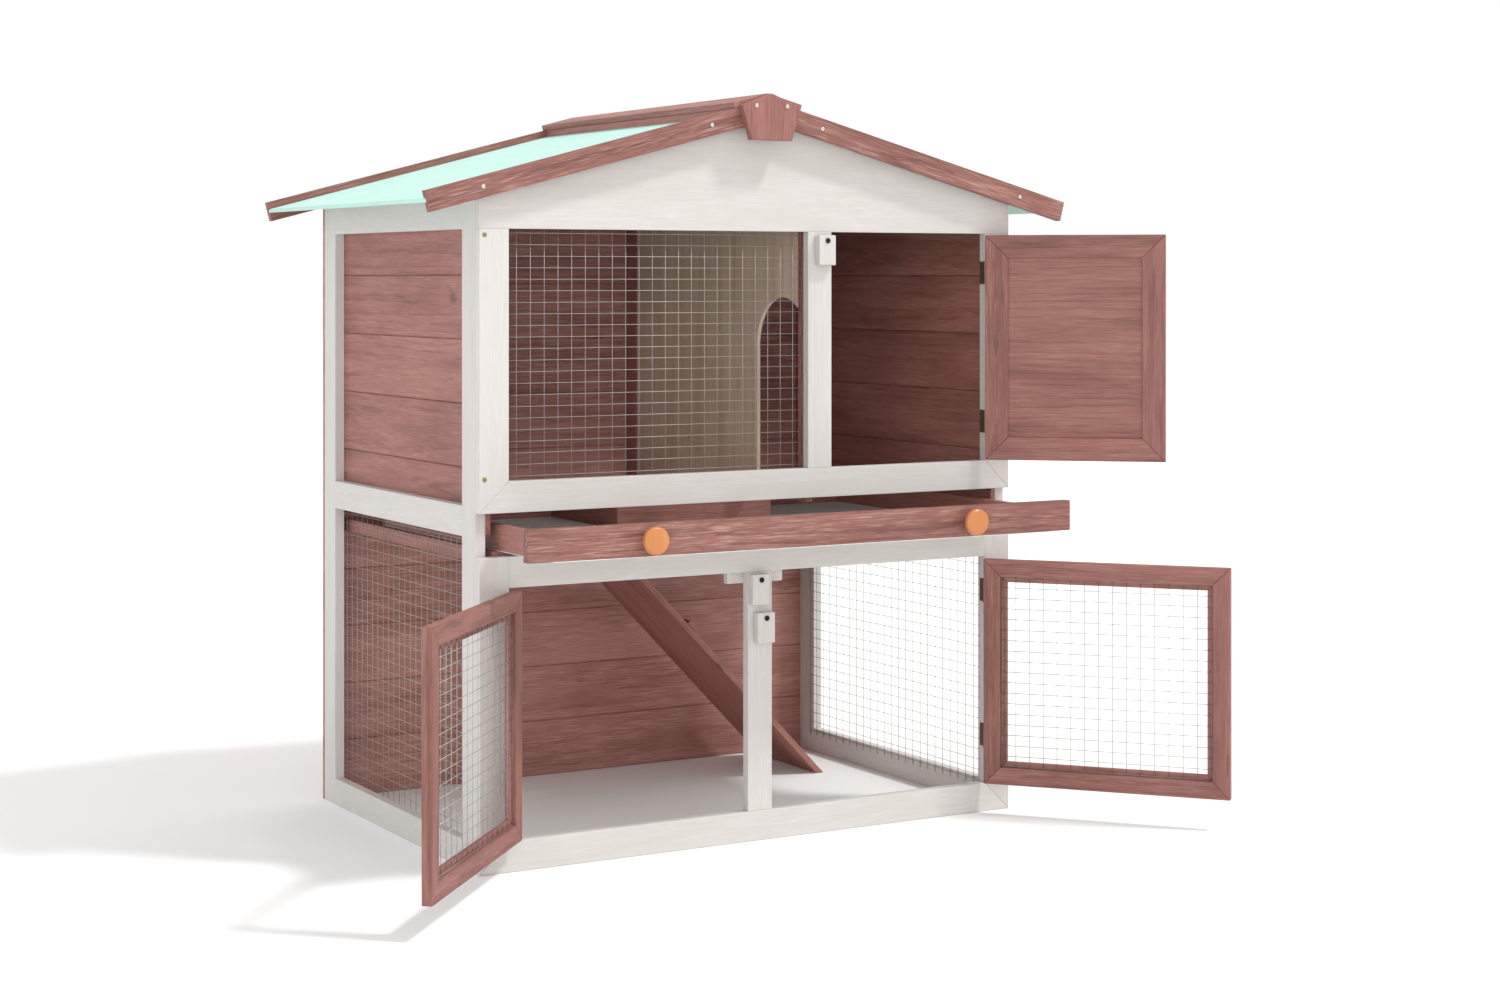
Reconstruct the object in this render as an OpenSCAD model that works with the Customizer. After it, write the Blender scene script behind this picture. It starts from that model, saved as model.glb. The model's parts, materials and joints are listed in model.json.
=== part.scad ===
// Two-storey timber hutch with a pull-out tray floor, three doors, a ramp and a felt roof.
// Millimetres. +X runs to the right along the front, +Y to the back and +Z up.
// The origin is the middle of the underside of the front bottom rail.
// The doors and the tray are drawn open, as they stand at rest.

/* [Body] */
// Width over the two side frames
body_w = 920; // [760:10:1120]
// Depth from the front face to the back of the side frames
body_d = 616; // [520:4:760]
// Clear height of the lower openings
lower_open_h = 360; // [280:5:460]
// Height of the slot that the tray slides in
tray_slot_h = 62; // [56:1:80]
// Clear height of the upper openings
upper_open_h = 360; // [280:5:460]

/* [Front frames] */
// Thickness of the front frames
frame_t = 15; // [12:0.5:20]
// Width of the upright stiles
stile_w = 46; // [40:1:60]
// Width of the front rails
rail_w = 45; // [38:1:56]
// Width of the two middle posts
post_w = 42; // [38:1:56]
// Distance of the upper middle post's centre from the middle of the front
upper_post_x = 106; // [40:2:150]

/* [Side frames] */
// Thickness of the side frames
side_t = 16; // [12:0.5:22]
// Width of the side posts
side_post_w = 47; // [36:1:60]
// Width of the side bottom rail
side_bottom_w = 41; // [32:1:60]
// Width of the side middle rail
side_mid_w = 44; // [32:1:60]
// How far the side middle rail stands above the tray slot
side_mid_rise = 8; // [0:1:16]
// Width of the side top rail
side_top_w = 58; // [40:1:80]

/* [Boards] */
// Thickness of the tongued boards
board_t = 8; // [6:0.5:12]
// Face width of one board
board_w = 93; // [75:1:110]
// How far boards and mesh lap over the frames
lap = 12; // [8:1:16]
// Size of the V groove at each board joint
board_chamfer = 1.5; // [0.6:0.1:1.8]

/* [Wire mesh] */
// Wire diameter
wire_d = 1.2; // [0.8:0.1:1.6]
// Spacing of the upright wires
wire_pitch_x = 22; // [16:1:40]
// Spacing of the level wires
wire_pitch_z = 16.6; // [12:0.2:40]

/* [Doors] */
// Gap round a closed door
door_gap = 2.5; // [2.2:0.1:4]
// Width of the door frame members
door_member_w = 36; // [30:1:46]
// Width of the rebate that holds the door mesh
rebate_w = 9; // [6:0.5:12]
// Depth of the rebate that holds the door mesh
rebate_d = 7; // [4:0.5:9]
// Thickness of the upper door's panel
door_panel_t = 6; // [4:0.5:8]
// Opening angle of the upper door at rest
upper_door_open = 138; // [0:1:175]
// Opening angle of the lower left door at rest
left_door_open = 132; // [0:1:175]
// Opening angle of the lower right door at rest
right_door_open = 130; // [0:1:175]

/* [Hinges] */
// Height of a butt hinge
hinge_h = 36; // [30:1:44]
// Width of a hinge leaf
hinge_leaf_w = 13; // [10:0.5:14]
// Distance of the upper door's hinges from its ends
upper_hinge_inset = 62; // [40:1:90]
// Distance of the lower doors' upper hinges from the top
lower_hinge_top = 54; // [40:1:90]
// Distance of the lower doors' lower hinges from the bottom
lower_hinge_bottom = 76; // [40:1:90]

/* [Turn buttons] */
// Width of a turn button
button_w = 30; // [24:1:34]
// Length of a turn button
button_l = 46; // [38:1:50]
// Thickness of a turn button
button_t = 13; // [8:0.5:16]
// Distance of the screw from the button's upper end
button_screw_in = 8.5; // [8:0.5:14]

/* [Tray] */
// How far the tray is pulled out at rest
tray_out = 161; // [0:1:300]
// Height of the tray's front board
tray_front_h = 46; // [40:1:50]
// Height of the tray's other boards
tray_board_h = 37; // [28:1:40]
// Thickness of the tray's boards
tray_board_t = 10; // [8:0.5:14]
// Distance of the tray's side boards from the side frames
tray_side_gap = 20; // [14:1:30]
// Width of the notch that clears the ramp
notch_w = 276; // [230:2:320]
// Depth of the notch that clears the ramp
notch_d = 245; // [228:1:300]
// Diameter of a knob
knob_d = 40; // [30:1:44]
// Distance of each knob from the middle
knob_x = 272; // [180:2:320]

/* [Ramp] */
// Width of the ramp
ramp_w = 195; // [150:1:200]
// Thickness of the ramp board
ramp_t = 10; // [8:0.5:14]
// Slope of the ramp in degrees
ramp_angle = 45.9; // [42:0.1:50]
// Distance of the ramp from the back boards
ramp_back_gap = 26; // [12:1:44]
// Distance between the ramp's cleats along the slope
cleat_pitch = 190; // [120:5:240]

/* [Divider] */
// Thickness of the divider's battens
divider_t = 12; // [8:0.5:16]
// Radius of the doorway arch
arch_r = 76; // [60:1:90]
// Distance of the arch's centre from the front frame
arch_y = 74; // [60:1:100]
// Height of the arch's crown above the upper openings' sill
arch_h = 260; // [200:5:300]

/* [Roof] */
// Pitch of the roof in degrees
roof_pitch = 14.8; // [10:0.2:22]
// How far the barge boards reach past the sides
eave_over = 92.6; // [60:0.2:120]
// How far the barge boards stand in front of the front
front_over = 24; // [20:1:60]
// How far the barge boards stand behind the back boards
back_over = 17; // [16:1:60]
// Thickness of the felted roof panels
roof_panel_t = 6; // [4:0.5:10]
// Width of the barge boards
barge_w = 31; // [28:0.5:50]
// Thickness of the barge boards
barge_t = 12; // [10:0.5:18]
// Width of a ridge cap board
cap_w = 59; // [45:1:80]
// Thickness of the ridge cap boards
cap_t = 9; // [6:0.5:14]

/* [Hidden] */
$fn = 48;

white = "#e9e6e3";
brown = "#a0685f";
steel = "#b9bcbc";
black = "#1c1a19";

half_w = body_w / 2;
front_y = -frame_t / 2;              // front face of the front frames
post_y = front_y + frame_t;          // front face of the side frames
back_y = front_y + body_d;           // back face of the side frames
z_lower_sill = rail_w;
z_lower_head = z_lower_sill + lower_open_h;
z_slot = z_lower_head + rail_w;      // bottom of the tray slot
z_slot_top = z_slot + tray_slot_h;
z_sill = z_slot_top + rail_w;        // bottom of the upper openings
z_head = z_sill + upper_open_h;      // top of the upper openings
side_h = z_head + side_top_w;
side_mid_z = z_slot_top + side_mid_rise - side_mid_w;
side_in = half_w - side_t;           // inner face of the side frames
opening_x = half_w - stile_w;
upper_post_l = upper_post_x - post_w / 2;
upper_post_r = upper_post_x + post_w / 2;

touch = 0.3;                         // clearance between bodies that slide or swing past
joint_gap = 0.2;                     // open joint between timbers of one group
roof_gap = 0.05;                     // the roof's bedding on the walls and in its grooves
pin_fit = 0.05;                      // radial running clearance

// Count of steps of a pitch that fit into a length
function steps(length, pitch) = floor(length / pitch);

// A plank with a given outline in the XZ plane, from y0 backwards
module plank(outline, y0, t) {
  translate([0, y0 + t, 0])
    rotate([90, 0, 0])
      linear_extrude(height = t)
        polygon(outline);
}

// A box between two corners
module box(low, high) {
  translate(low)
    cube(high - low);
}

tongue_h = 3;                        // height of a board's tongue
tongue_share = 0.3;                  // thickness of the tongue as a share of the board's

// One board: length along X, width along Z, a tongue on its upper edge and a groove in its lower edge
module board(length, width, t) {
  c = board_chamfer;
  g = joint_gap / 2;
  y0 = t * (1 - tongue_share) / 2;
  y1 = t - y0;
  rotate([90, 0, 90])
    linear_extrude(height = length)
      polygon([[0, c], [c, g], [y0 - g, g], [y0 - g, g + tongue_h], [y1 + g, g + tongue_h], [y1 + g, g],
               [t - c, g], [t, c], [t, width - c], [t - c, width - g], [y1, width - g],
               [y1, width - g + tongue_h], [y0, width - g + tongue_h], [y0, width - g],
               [c, width - g], [0, width - c]]);
}

// ---- Side frames: side is -1 on the left and 1 on the right ----

module side_timber(side, y0, y1, z0, z1) {
  x0 = side < 0 ? -half_w : side_in;
  color(white)
    box([x0, y0, z0], [x0 + side_t, y1, z1]);
}

module front_post(side) {
  side_timber(side, post_y, post_y + side_post_w, 0, side_h);
}

module back_post(side) {
  side_timber(side, back_y - side_post_w, back_y, 0, side_h);
}

module side_rail(side, z0, width) {
  side_timber(side, post_y + side_post_w, back_y - side_post_w, z0, z0 + width);
}

side_board_rise = 3;                 // the boards start this far above the middle rail's underside
side_board_rows = ceil((z_head - side_mid_z) / board_w);

module side_boards(side) {
  depth = back_y - post_y - joint_gap;
  color(brown)
    for (i = [0 : side_board_rows - 1])
      translate([side * side_in, post_y + joint_gap / 2, side_mid_z + side_board_rise + i * board_w])
        mirror([side > 0 ? 1 : 0, 0, 0])
          translate([0, depth, 0])
            rotate([0, 0, -90])
              board(depth, board_w, board_t);
}

// ---- Wire mesh: upright round wires and level round wires laid on them ----

// Mesh filling w by h in the XZ plane, first layer starting at y = 0
module wire_mesh(w, h) {
  nx = steps(w - wire_d, wire_pitch_x);
  nz = steps(h - wire_d, wire_pitch_z);
  x0 = (w - nx * wire_pitch_x) / 2;
  z0 = (h - nz * wire_pitch_z) / 2;
  color(steel) {
    for (i = [0 : nx])
      translate([x0 + i * wire_pitch_x - wire_d / 2, 0, 0])
        cube([wire_d, wire_d, h]);
    for (j = [0 : nz])
      translate([0, 0, z0 + j * wire_pitch_z - wire_d / 2])
        cube([w, wire_d, wire_d]);
  }
}

module side_mesh(side) {
  depth = back_y - post_y - 2 * (side_post_w - lap);
  z0 = side_bottom_w - lap;
  mirror([side < 0 ? 1 : 0, 0, 0])
    translate([side_in, post_y + side_post_w - lap, z0])
      rotate([0, 0, 90])
        wire_mesh(depth, side_mid_z - z0);
}

module window_mesh() {
  w = upper_post_l + opening_x + 2 * lap;
  translate([-opening_x - lap, post_y, z_sill - lap])
    wire_mesh(w, upper_open_h + 2 * lap);
}

// ---- Roof lines ----

slope = tan(roof_pitch);

// Height of the roof panels' underside at a distance from the middle
function under_roof(x) = side_h + (half_w - abs(x)) * slope;

barge_lap = 11.5;                    // barge boards stand this far above the felt, upright
panel_rise = roof_panel_t / cos(roof_pitch);
ridge_z = under_roof(0) + panel_rise + barge_lap;
barge_end = half_w + eave_over;
barge_front_y = front_y - front_over;
barge_back_y = back_y + board_t + back_over;
barge_groove = 6;                    // depth of the groove that holds the roof panels
panel_end = barge_end - 4.6;         // the felt stops short of the barge boards' ends
groove_over = 20;                    // the groove runs out past the panels' ends

// ---- Back ----

back_rows = ceil(under_roof(0) / board_w);

module back_boards() {
  wall_top = under_roof(half_w) - roof_gap;
  color(brown)
    intersection() {
      for (i = [0 : back_rows - 1])
        translate([-half_w, back_y, i * board_w])
          board(body_w, board_w, board_t);
      plank([[-half_w, 0], [half_w, 0], [half_w, wall_top],
             [0, under_roof(0) - roof_gap], [-half_w, wall_top]], back_y - 1, board_t + 2);
    }
}

// ---- Upper front frame ----

frame_screw_r = 2;
frame_screw_x = half_w - side_t / 2;
frame_screw_z = [z_sill + 4, z_head - 9];

module upper_stile(side) {
  color(white)
    difference() {
      plank([[side * half_w, z_slot_top], [side * half_w, z_head],
             [side * opening_x, z_head], [side * opening_x, z_sill]], front_y, frame_t);
      for (z = frame_screw_z)
        translate([side * frame_screw_x, front_y - 1, z])
          rotate([-90, 0, 0])
            cylinder(h = frame_t + 2, r = frame_screw_r + pin_fit);
    }
}

module upper_bottom_rail() {
  color(white)
    plank([[-half_w, z_slot_top], [half_w, z_slot_top], [opening_x, z_sill], [-opening_x, z_sill]],
          front_y, frame_t);
}

button_screw_r = 2;
button_screw_depth = 12;             // how far a turn button's screw reaches into its post

module button_hole(x, z) {
  translate([x, front_y - 1, z])
    rotate([-90, 0, 0])
      cylinder(h = 1 + button_screw_depth, r = button_screw_r + pin_fit);
}

upper_button_drop = 5;               // gap between the gable board and the upper button
lower_button_drop = 3;               // gap between the lower top rail and the left button
button_step = 58;                    // the right button hangs this far below the left one
upper_button_x = upper_post_x + 6;
upper_button_z = z_head - upper_button_drop - button_screw_in;
left_button_x = -5;
left_button_z = z_lower_head - lower_button_drop - button_screw_in;
right_button_x = 4;
right_button_z = left_button_z - button_step;

module upper_middle_post() {
  color(white)
    difference() {
      box([upper_post_l, front_y, z_sill], [upper_post_r, post_y, z_head]);
      button_hole(upper_button_x, upper_button_z);
    }
}

module gable_board() {
  edge = under_roof(half_w) - roof_gap;
  color(white)
    plank([[-half_w, z_head], [half_w, z_head], [half_w, edge],
           [0, under_roof(0) - roof_gap], [-half_w, edge]], front_y, frame_t);
}

// ---- Lower front frame ----

module lower_stile(side) {
  color(white)
    plank([[side * half_w, 0], [side * half_w, z_slot],
           [side * opening_x, z_slot], [side * opening_x, z_lower_sill]], front_y, frame_t);
}

module lower_top_rail() {
  color(white)
    box([-opening_x, front_y, z_lower_head], [opening_x, post_y, z_slot]);
}

module lower_bottom_rail() {
  color(white)
    plank([[-half_w, 0], [half_w, 0], [opening_x, z_lower_sill], [-opening_x, z_lower_sill]],
          front_y, frame_t);
}

module lower_middle_post() {
  color(white)
    difference() {
      box([-post_w / 2, front_y, z_lower_sill], [post_w / 2, post_y, z_lower_head]);
      button_hole(left_button_x, left_button_z);
      button_hole(right_button_x, right_button_z);
    }
}

cleat_reach = 27;                    // how far the stop reaches behind each lower door
stop_drop = 18;                      // how far the stop hangs below the lower head
stop_lap = 20;                       // how far the stop laps behind the top rail
stop_t = 12;                         // thickness of the stop

module door_stop_cleat() {
  x = post_w / 2 + cleat_reach;
  color(white)
    box([-x, post_y, z_lower_head - stop_drop], [x, post_y + stop_t, z_lower_head + stop_lap]);
}

// ---- Divider between the two upper rooms ----

divider_x = upper_post_l + 6;        // left face of the divider
divider_z = z_slot_top - 8;          // it hangs a little into the tray slot
divider_top = side_h - 10;
divider_batten_w = 40;
divider_front_batten_w = 24;
divider_panel_t = 6;
divider_front_y = post_y + wire_d + 0.5;

module divider_panel() {
  y0 = divider_front_y + divider_front_batten_w;
  y1 = back_y - divider_batten_w;
  arch_z = z_sill + arch_h - arch_r;
  color("#c9b79a")
    difference() {
      box([divider_x, y0, divider_z], [divider_x + divider_panel_t, y1, divider_top]);
      translate([divider_x - 1, post_y + arch_y, arch_z])
        rotate([0, 90, 0])
          cylinder(h = divider_panel_t + 2, r = arch_r, $fn = 96);
      box([divider_x - 1, post_y, divider_z - 1],
          [divider_x + divider_panel_t + 1, post_y + arch_y + arch_r, arch_z]);
    }
}

module divider_battens() {
  color(brown) {
    box([divider_x, divider_front_y, divider_z],
        [divider_x + divider_t, divider_front_y + divider_front_batten_w - joint_gap, divider_top]);
    box([divider_x, back_y - divider_batten_w + joint_gap, divider_z],
        [divider_x + divider_t, back_y, divider_top]);
  }
}

// ---- Tray: drawn at its rest place, pulled out by tray_out ----

tray_sheet_t = 1;
tray_z = z_slot + 7;                 // underside of the tray's sheet
tray_floor = tray_z + tray_sheet_t;
tray_front_t = frame_t - 0.5;
tray_half = side_in - tray_side_gap;
tray_front_y = front_y - tray_out;
tray_back_y = back_y - tray_out - 8;
tray_in_y = tray_front_y + tray_front_t;

module tray_front() {
  color(brown)
    difference() {
      box([-half_w, tray_front_y, tray_floor],
          [half_w, tray_in_y, tray_floor + tray_front_h]);
      for (side = [-1, 1])
        translate([side * knob_x, tray_front_y - 1, tray_floor + tray_front_h / 2])
          rotate([-90, 0, 0])
            cylinder(h = tray_front_t + 2, r = knob_screw_r + pin_fit);
    }
}

module tray_sides() {
  top = tray_floor + tray_board_h;
  color(brown)
    for (side = [-1, 1]) {
      mirror([side < 0 ? 1 : 0, 0, 0]) {
        box([tray_half - tray_board_t, tray_in_y + joint_gap, tray_floor],
            [tray_half, tray_back_y, top]);
        box([notch_w / 2 + joint_gap, tray_back_y - tray_board_t, tray_floor],
            [tray_half - tray_board_t - joint_gap, tray_back_y, top]);
      }
    }
}

notch_y = tray_back_y - notch_d;     // front face of the notch's front wall

module tray_notch_walls() {
  top = tray_floor + tray_board_h;
  color(brown) {
    box([-notch_w / 2, notch_y, tray_floor], [notch_w / 2, notch_y + tray_board_t, top]);
    for (side = [-1, 1])
      mirror([side < 0 ? 1 : 0, 0, 0])
        box([notch_w / 2 - tray_board_t, notch_y + tray_board_t + joint_gap, tray_floor],
            [notch_w / 2, tray_back_y, top]);
  }
}

module tray_sheet() {
  inner = notch_w / 2 - tray_board_t;
  color(steel)
    translate([0, 0, tray_z])
      linear_extrude(height = tray_sheet_t)
        polygon([[-tray_half, tray_front_y], [tray_half, tray_front_y], [tray_half, tray_back_y],
                 [inner, tray_back_y], [inner, notch_y + tray_board_t],
                 [-inner, notch_y + tray_board_t], [-inner, tray_back_y], [-tray_half, tray_back_y]]);
}

knob_neck_r = 10;
knob_neck_l = 12;
knob_head_t = 12;
knob_round = 4;
knob_screw_r = 2;

// A turned knob with a short neck, its axis along +Z, standing on z = 0
module knob() {
  r = knob_d / 2;
  top = knob_neck_l + knob_head_t;
  rotate_extrude($fn = 64)
    polygon(concat([[0, 0], [knob_neck_r, 0], [knob_neck_r - 2, knob_neck_l - 3]],
                   [for (a = [-90 : 15 : 0])
                     [r - knob_round + knob_round * cos(a), knob_neck_l + knob_round + knob_round * sin(a)]],
                   [for (a = [0 : 15 : 90])
                     [r - knob_round + knob_round * cos(a), top - knob_round + knob_round * sin(a)]],
                   [[0, top]]));
}

module tray_knobs() {
  color("#e0954f")
    for (side = [-1, 1])
      translate([side * knob_x, tray_front_y, tray_floor + tray_front_h / 2])
        rotate([90, 0, 0]) {
          knob();
          translate([0, 0, -tray_front_t])
            cylinder(h = tray_front_t, r = knob_screw_r);
        }
}

// ---- Ramp and the battens under the tray ----

ramp_y1 = back_y - ramp_back_gap;
ramp_y0 = ramp_y1 - ramp_w;
batten = 20;                         // width of the bearers
bearer_gap = 2;                      // gap between a bearer and the side boards
bearer_top = tray_z - 3;             // top of the batten that carries the ramp
ramp_top_z = tray_z + 14;
bearer_x = -97;                      // right face of the batten that carries the ramp
ramp_foot_x = bearer_x + bearer_top / tan(ramp_angle);

module tray_bearers() {
  color(brown) {
    for (side = [-1, 1])
      mirror([side < 0 ? 1 : 0, 0, 0])
        box([side_in - board_t - bearer_gap - 2 * batten, post_y, tray_z - touch - batten],
            [side_in - board_t - bearer_gap, back_y, tray_z - touch]);
    plank([[bearer_x - batten, bearer_top - batten], [ramp_x(bearer_top - batten), bearer_top - batten],
           [bearer_x, bearer_top], [bearer_x - batten, bearer_top]], post_y, back_y - post_y);
  }
}

// Underside of the ramp at a height, and its top face straight above
function ramp_x(z) = ramp_foot_x - z / tan(ramp_angle);

module ramp_board() {
  flat = ramp_t / sin(ramp_angle);
  color(brown)
    plank([[ramp_foot_x, 0], [ramp_foot_x + flat, 0],
           [ramp_x(ramp_top_z) + flat, ramp_top_z], [ramp_x(ramp_top_z), ramp_top_z]],
          ramp_y0, ramp_w);
}

cleat_w = 20;
cleat_t = 8;

module ramp_cleats() {
  length = ramp_top_z / sin(ramp_angle);
  first = cleat_pitch - cleat_w;
  color(brown)
    translate([ramp_foot_x + ramp_t / sin(ramp_angle), ramp_y0, 0])
      rotate([0, ramp_angle, 0])
        for (s = [first : cleat_pitch : length - cleat_w])
          translate([-s - cleat_w, 0, joint_gap / 2])
            cube([cleat_w, ramp_w, cleat_t]);
}

// ---- Roof ----

module roof_panel(side) {
  y0 = barge_front_y + barge_t - barge_groove + touch;
  y1 = barge_back_y - barge_t + barge_groove - touch;
  end = under_roof(panel_end);
  color("#d6efe6")
    plank([[side * joint_gap, under_roof(joint_gap)], [side * panel_end, end],
           [side * panel_end, end + panel_rise], [side * joint_gap, under_roof(joint_gap) + panel_rise]],
          y0, y1 - y0);
}

barge_drop = barge_w / cos(roof_pitch);

// One barge board: facing is -1 at the front and 1 at the back, its groove faces inwards
module barge_board(side, facing) {
  y0 = facing < 0 ? barge_front_y : barge_back_y - barge_t;
  end_z = ridge_z - barge_end * slope;
  low = under_roof(panel_end + groove_over) - roof_gap;
  high = under_roof(0) - roof_gap;
  groove_h = panel_rise + touch + roof_gap;
  groove_y = facing < 0 ? y0 + barge_t - barge_groove : y0 - 1;
  color(brown)
    difference() {
      plank([[side * joint_gap, ridge_z - joint_gap * slope], [side * barge_end, end_z],
             [side * (barge_end - barge_w * sin(roof_pitch)), end_z - barge_w * cos(roof_pitch)],
             [side * joint_gap, ridge_z - joint_gap * slope - barge_drop]], y0, barge_t);
      for (x = barge_screw_x)
        translate([side * x, y0 - 1, ridge_z - x * slope - barge_drop / 2])
          rotate([-90, 0, 0])
            cylinder(h = barge_t + 2, r = roof_screw_r + pin_fit);
      plank([[-side, high + slope], [side * (panel_end + groove_over), low],
             [side * (panel_end + groove_over), low + groove_h], [-side, high + slope + groove_h]],
            groove_y, barge_groove + 1);
    }
}

cap_rise = cap_t / cos(roof_pitch);

module ridge_cap(side) {
  low = ridge_z + roof_gap;
  reach = cap_w * cos(roof_pitch);
  y0 = barge_front_y;
  color(brown)
    plank([[side * joint_gap, low - joint_gap * slope], [side * reach, low - reach * slope],
           [side * (reach + cap_t * sin(roof_pitch)), low - reach * slope + cap_t * cos(roof_pitch)],
           [side * joint_gap, low + cap_rise]],
          y0, barge_back_y - y0);
}

// Batten that fills the space between a roof panel and its ridge cap
module ridge_batten(side) {
  reach = cap_w * cos(roof_pitch) - 1.5;
  felt = panel_rise + roof_gap;
  y0 = barge_front_y + barge_t + roof_gap;
  color(brown)
    plank([[side * joint_gap, under_roof(joint_gap) + felt], [side * reach, under_roof(reach) + felt],
           [side * reach, ridge_z - reach * slope - roof_gap],
           [side * joint_gap, ridge_z - joint_gap * slope - roof_gap]],
          y0, barge_back_y - barge_t - roof_gap - y0);
}

apex_w = 102;                        // width over the apex plates' shoulders
apex_foot_w = 70;                    // width of their foot
apex_h = 70;
apex_shoulder = 19;                  // depth of the shoulders below the top
apex_t = 12;
apex_top = ridge_z + cap_rise - 1;

module apex_plate(y0) {
  color(brown)
    difference() {
      plank([[0, apex_top], [apex_w / 2, apex_top - apex_shoulder], [apex_foot_w / 2, apex_top - apex_h],
             [-apex_foot_w / 2, apex_top - apex_h], [-apex_w / 2, apex_top - apex_shoulder]], y0, apex_t);
      for (x = [-apex_screw_x, apex_screw_x])
        translate([x, y0 - 1, apex_top - apex_shoulder])
          rotate([-90, 0, 0])
            cylinder(h = apex_t + 2, r = roof_screw_r + pin_fit);
    }
}

// ---- Screws: domed heads on plain shanks, drawn along -Y with the head's seat at y = 0 ----

module screw(shank_r, shank_l, head_r, head_t) {
  rotate([90, 0, 0]) {
    rotate_extrude()
      polygon(concat([[0, 0]], [for (a = [0 : 15 : 90]) [head_r * cos(a), head_t * sin(a)]]));
    translate([0, 0, -shank_l])
      cylinder(h = shank_l, r = shank_r);
  }
}

roof_screw_r = 1.5;
apex_screw_x = 26.5;
barge_screw_x = [96, barge_end - 88];
roof_head_r = 3.2;
roof_head_t = 1.6;

// Screws of one gable: through the apex plate and through the barge boards
module gable_screws(y) {
  for (x = barge_screw_x, side = [-1, 1])
    translate([side * x, y, ridge_z - x * slope - barge_drop / 2])
      screw(roof_screw_r, barge_t - barge_groove, roof_head_r, roof_head_t);
  for (x = [-apex_screw_x, apex_screw_x])
    translate([x, y - apex_t, apex_top - apex_shoulder])
      screw(roof_screw_r, apex_t, roof_head_r, roof_head_t);
}

module roof_screws() {
  color(steel) {
    gable_screws(barge_front_y);
    mirror([0, 1, 0])
      gable_screws(-barge_back_y);
  }
}

module frame_screws() {
  color("#8a8058")
    for (side = [-1, 1], z = frame_screw_z)
      translate([side * frame_screw_x, front_y - touch / 3, z])
        screw(frame_screw_r, frame_t, 3.8, 1.2);
}

module turn_button_screws() {
  at = [[upper_button_x, upper_button_z], [left_button_x, left_button_z], [right_button_x, right_button_z]];
  color(black)
    for (p = at)
      translate([p[0], front_y - touch - button_t - touch, p[1]])
        screw(button_screw_r, button_t + 2 * touch + button_screw_depth - 1, 4.2, 2.4);
}

// ---- Turn buttons: hanging from their screws ----

module turn_button(x, z) {
  y0 = front_y - touch - button_t;
  color(white)
    difference() {
      box([x - button_w / 2, y0, z + button_screw_in - button_l],
          [x + button_w / 2, y0 + button_t, z + button_screw_in]);
      translate([x, y0 - 1, z])
        rotate([-90, 0, 0])
          cylinder(h = button_t + 2, r = button_screw_r + pin_fit);
    }
}

// ---- Doors: drawn closed with the hinge edge on the right, then swung open ----

door_t = frame_t - 0.5;
hinge_y = front_y - 3;               // axis of the hinges
hinge_x = opening_x - door_gap / 2;
knuckle_r = 2.6;
pin_r = 1.3;
leaf_t = 1;
door_h = lower_open_h - 2 * door_gap;
upper_door_h = upper_open_h - 2 * door_gap;
lower_door_l = post_w / 2 + door_gap;
upper_door_l = upper_post_r + door_gap;
door_r = opening_x - door_gap;

// Swings a right-hand door open about its hinge axis; side -1 mirrors it to the left
module swing(side, angle) {
  mirror([side < 0 ? 1 : 0, 0, 0])
    translate([hinge_x, hinge_y, 0])
      rotate([0, 0, angle])
        translate([-hinge_x, -hinge_y, 0])
          children();
}

// One of four mitred members round a w by h door: turn is 0 to 3
module door_member(w, h, turn) {
  m = door_member_w;
  g = joint_gap / 2;
  outlines = [
    [[g, 0], [w - g, 0], [w - m - g, m], [m + g, m]],
    [[w, g], [w, h - g], [w - m, h - m - g], [w - m, m + g]],
    [[w - g, h], [g, h], [m + g, h - m], [w - m - g, h - m]],
    [[0, h - g], [0, g], [m, m + g], [m, h - m - g]]];
  plank(outlines[turn], 0, door_t);
}

module door_frame(x0, z0, h, cut_y, cut_d, cut_w) {
  w = door_r - x0;
  m = door_member_w - cut_w;
  color(brown)
    translate([x0, front_y, z0])
      for (turn = [0 : 3])
        difference() {
          door_member(w, h, turn);
          box([m, cut_y, m], [w - m, cut_y + cut_d, h - m]);
        }
}

panel_groove = 5;

module upper_door_frame() {
  swing(1, upper_door_open)
    door_frame(upper_door_l, z_sill + door_gap, upper_door_h,
               (door_t - door_panel_t) / 2 - joint_gap, door_panel_t + 2 * joint_gap, panel_groove);
}

module upper_door_panel() {
  m = door_member_w - panel_groove + joint_gap;
  y0 = front_y + (door_t - door_panel_t) / 2;
  color(brown)
    swing(1, upper_door_open)
      box([upper_door_l + m, y0, z_sill + door_gap + m],
          [door_r - m, y0 + door_panel_t, z_sill + door_gap + upper_door_h - m]);
}

function lower_door_open(side) = side < 0 ? left_door_open : right_door_open;

module lower_door_frame(side) {
  swing(side, lower_door_open(side))
    door_frame(lower_door_l, z_lower_sill + door_gap, door_h, door_t - rebate_d, rebate_d + 1, rebate_w);
}

module lower_door_mesh(side) {
  m = door_member_w - rebate_w + joint_gap;
  swing(side, lower_door_open(side))
    translate([lower_door_l + m, front_y + door_t - rebate_d + joint_gap, z_lower_sill + door_gap + m])
      wire_mesh(door_r - lower_door_l - 2 * m, door_h - 2 * m);
}

// ---- Butt hinges ----

function upper_hinges() = [z_sill + upper_hinge_inset, z_head - upper_hinge_inset];
function lower_hinges() = [z_lower_sill + lower_hinge_bottom, z_lower_head - lower_hinge_top];

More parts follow.
